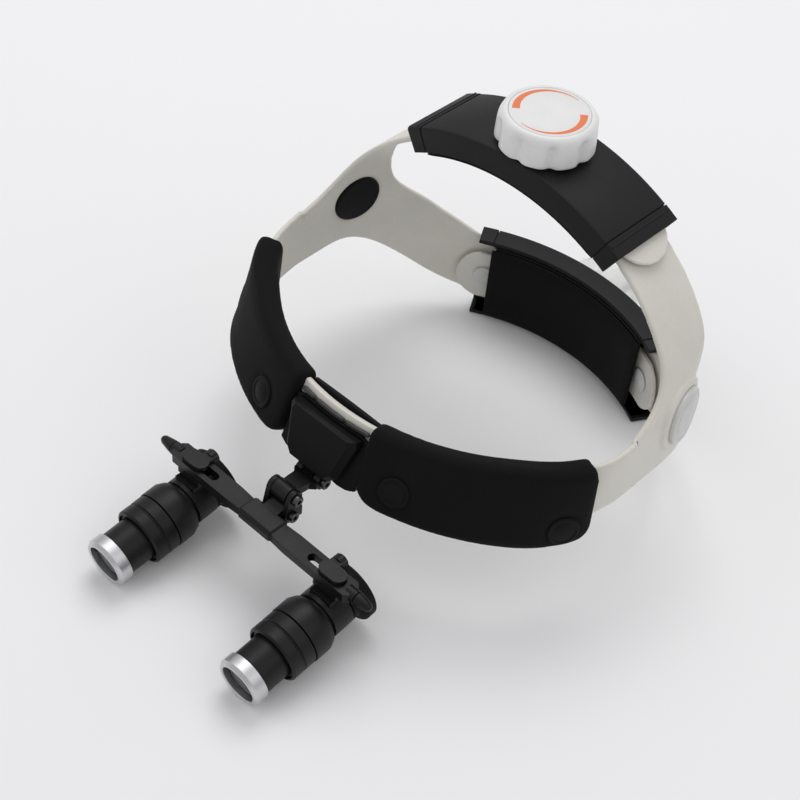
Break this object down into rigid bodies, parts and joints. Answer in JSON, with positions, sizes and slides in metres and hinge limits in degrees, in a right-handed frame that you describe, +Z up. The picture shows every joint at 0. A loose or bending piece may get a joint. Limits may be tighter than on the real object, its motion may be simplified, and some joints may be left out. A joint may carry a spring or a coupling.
{
  "type": "head visor magnifier",
  "caption": "Headband binocular magnifier: a padded two-arch headset carries a pair of short telescopes on a jointed arm and a sliding cross bar in front of the brow.",
  "frame": {"origin": "middle of the bounding box's footprint, on the surface that the part rests on", "axes": "+Z up, the front of the headset towards -Y, +X towards the wearer's left"},
  "size_m": [0.1642, 0.2284, 0.1338],
  "materials": {
    "white_plastic": "satin",
    "knob_white": "satin",
    "label_grey": "matte, with two orange crescents",
    "cap_grey": "satin",
    "soft_black": "matte, soft",
    "snap_black": "satin",
    "silver": "brushed",
    "screw_steel": "satin",
    "lens_glass": "coated",
    "black_plastic": "fine grain"
  },
  "bodies": {
    "head_frame": {"front_band": "white_plastic", "bracket_backing": "black_plastic", "bracket_cover": "black_plastic", "pivot_screw_1": "screw_steel", "side_yoke_left": "white_plastic", "yoke_cap_left": "cap_grey", "yoke_plug_left": "black_plastic", "brow_cushion_left": "soft_black", "cushion_snap_inner_left": "snap_black", "cushion_snap_outer_left": "snap_black", "side_yoke_right": "white_plastic", "yoke_cap_right": "cap_grey", "yoke_plug_right": "black_plastic", "brow_cushion_right": "soft_black", "cushion_snap_inner_right": "snap_black", "cushion_snap_outer_right": "snap_black"},
    "crown_unit": {"crown_housing": "black_plastic", "crown_cover": "black_plastic", "crown_pad": "soft_black"},
    "crown_dial": {"crown_knob": "knob_white", "crown_knob_label": "label_grey"},
    "rear_unit": {"rear_housing": "black_plastic", "rear_cover": "black_plastic", "rear_pad": "soft_black"},
    "rear_dial": {"rear_knob": "knob_white"},
    "upper_arm": {"upper_link": "black_plastic", "pivot_screw_2": "screw_steel"},
    "lower_arm": {"lower_link": "black_plastic", "pivot_screw_3": "screw_steel"},
    "bar": {"pupil_bar": "black_plastic", "bar_grip_left": "black_plastic", "bar_grip_right": "black_plastic"},
    "crown_strap_left": {"crown_strap_left": "white_plastic", "crown_rivet_left": "cap_grey"},
    "rear_strap_left": {"rear_strap_left": "white_plastic", "rear_rivet_left": "cap_grey"},
    "carriage_left": {"slider_left": "black_plastic"},
    "barrel_left": {"barrel_mount_left": "black_plastic", "barrel_body_left": "black_plastic", "eyepiece_lens_left": "lens_glass", "eyecup_left": "black_plastic"},
    "focus_ring_left": {"focus_collar_left": "black_plastic"},
    "focus_tube_left": {"front_tube_left": "black_plastic", "objective_ring_left": "silver", "objective_lens_left": "lens_glass"},
    "crown_strap_right": {"crown_strap_right": "white_plastic", "crown_rivet_right": "cap_grey"},
    "rear_strap_right": {"rear_strap_right": "white_plastic", "rear_rivet_right": "cap_grey"},
    "carriage_right": {"slider_right": "black_plastic"},
    "barrel_right": {"barrel_mount_right": "black_plastic", "barrel_body_right": "black_plastic", "eyepiece_lens_right": "lens_glass", "eyecup_right": "black_plastic"},
    "focus_ring_right": {"focus_collar_right": "black_plastic"},
    "focus_tube_right": {"front_tube_right": "black_plastic", "objective_ring_right": "silver", "objective_lens_right": "lens_glass"}
  },
  "joints": [
    {"name": "crown_swing", "type": "hinge", "parent": "head_frame", "child": "crown_unit", "pos_m": [0, 0.0531, 0.1061], "axis": [1, 0, 0], "range_deg": [-6, 6]},
    {"name": "crown_adjust", "type": "hinge", "parent": "crown_unit", "child": "crown_dial", "pos_m": [0, 0.0531, 0.1219], "axis": [0, 0, 1], "range_deg": [-40, 40]},
    {"name": "rear_swing", "type": "hinge", "parent": "head_frame", "child": "rear_unit", "pos_m": [0, 0.0867, 0.0189], "axis": [1, 0, 0], "range_deg": [-5, 5]},
    {"name": "rear_adjust", "type": "hinge", "parent": "rear_unit", "child": "rear_dial", "pos_m": [0, 0.1025, 0.0189], "axis": [0, -1, 0], "range_deg": [-40, 40]},
    {"name": "arm_pivot_upper", "type": "hinge", "parent": "head_frame", "child": "upper_arm", "pos_m": [0, -0.0495, 0.0341], "axis": [-1, 0, 0], "range_deg": [-10, 17]},
    {"name": "arm_pivot_middle", "type": "hinge", "parent": "upper_arm", "child": "lower_arm", "pos_m": [0, -0.0623, 0.0351], "axis": [-1, 0, 0], "range_deg": [-10, 40]},
    {"name": "arm_pivot_lower", "type": "hinge", "parent": "lower_arm", "child": "bar", "pos_m": [0, -0.0639, 0.0284], "axis": [-1, 0, 0], "range_deg": [-20, 15]},
    {"name": "crown_strap_travel_left", "type": "hinge", "parent": "crown_unit", "child": "crown_strap_left", "pos_m": [0, 0.0531, 0.0299], "axis": [0, 1, 0], "range_deg": [-2.5, 2.5]},
    {"name": "rear_strap_travel_left", "type": "hinge", "parent": "rear_unit", "child": "rear_strap_left", "pos_m": [0, 0.0105, 0.0189], "axis": [0, 0, 1], "range_deg": [-2.5, 2.5]},
    {"name": "pupil_slide_left", "type": "slide", "parent": "bar", "child": "carriage_left", "axis": [1, 0, 0], "range_m": [-0.006, 0.0015]},
    {"name": "barrel_swivel_left", "type": "hinge", "parent": "carriage_left", "child": "barrel_left", "pos_m": [0.033, -0.072, 0.0226], "axis": [0, 0, 1], "range_deg": [-5, 5]},
    {"name": "focus_turn_left", "type": "hinge", "parent": "barrel_left", "child": "focus_ring_left", "pos_m": [0.033, -0.113, 0.0089], "axis": [0, 0.9925, 0.1219], "range_deg": [-70, 70]},
    {"name": "focus_travel_left", "type": "slide", "parent": "barrel_left", "child": "focus_tube_left", "axis": [0, 0.9925, 0.1219], "range_m": [-0.00073, 0.00073]},
    {"name": "crown_strap_travel_right", "type": "hinge", "parent": "crown_unit", "child": "crown_strap_right", "pos_m": [0, 0.0531, 0.0299], "axis": [0, 1, 0], "range_deg": [-2.5, 2.5]},
    {"name": "rear_strap_travel_right", "type": "hinge", "parent": "rear_unit", "child": "rear_strap_right", "pos_m": [0, 0.0105, 0.0189], "axis": [0, 0, 1], "range_deg": [-2.5, 2.5]},
    {"name": "pupil_slide_right", "type": "slide", "parent": "bar", "child": "carriage_right", "axis": [-1, 0, 0], "range_m": [-0.006, 0.0015]},
    {"name": "barrel_swivel_right", "type": "hinge", "parent": "carriage_right", "child": "barrel_right", "pos_m": [-0.033, -0.072, 0.0226], "axis": [0, 0, 1], "range_deg": [-5, 5]},
    {"name": "focus_turn_right", "type": "hinge", "parent": "barrel_right", "child": "focus_ring_right", "pos_m": [-0.033, -0.113, 0.0089], "axis": [0, 0.9925, 0.1219], "range_deg": [-70, 70]},
    {"name": "focus_travel_right", "type": "slide", "parent": "barrel_right", "child": "focus_tube_right", "axis": [0, 0.9925, 0.1219], "range_m": [-0.00073, 0.00073]}
  ],
  "couplings": [
    {"joint": "crown_strap_travel_left", "follows": "crown_adjust", "ratio": -0.06},
    {"joint": "rear_strap_travel_left", "follows": "rear_adjust", "ratio": 0.06},
    {"joint": "focus_turn_left", "follows": "focus_travel_left", "rad_per_m": 1666.7},
    {"joint": "crown_strap_travel_right", "follows": "crown_adjust", "ratio": 0.06},
    {"joint": "rear_strap_travel_right", "follows": "rear_adjust", "ratio": -0.06},
    {"joint": "focus_turn_right", "follows": "focus_travel_right", "rad_per_m": 1666.7}
  ]
}
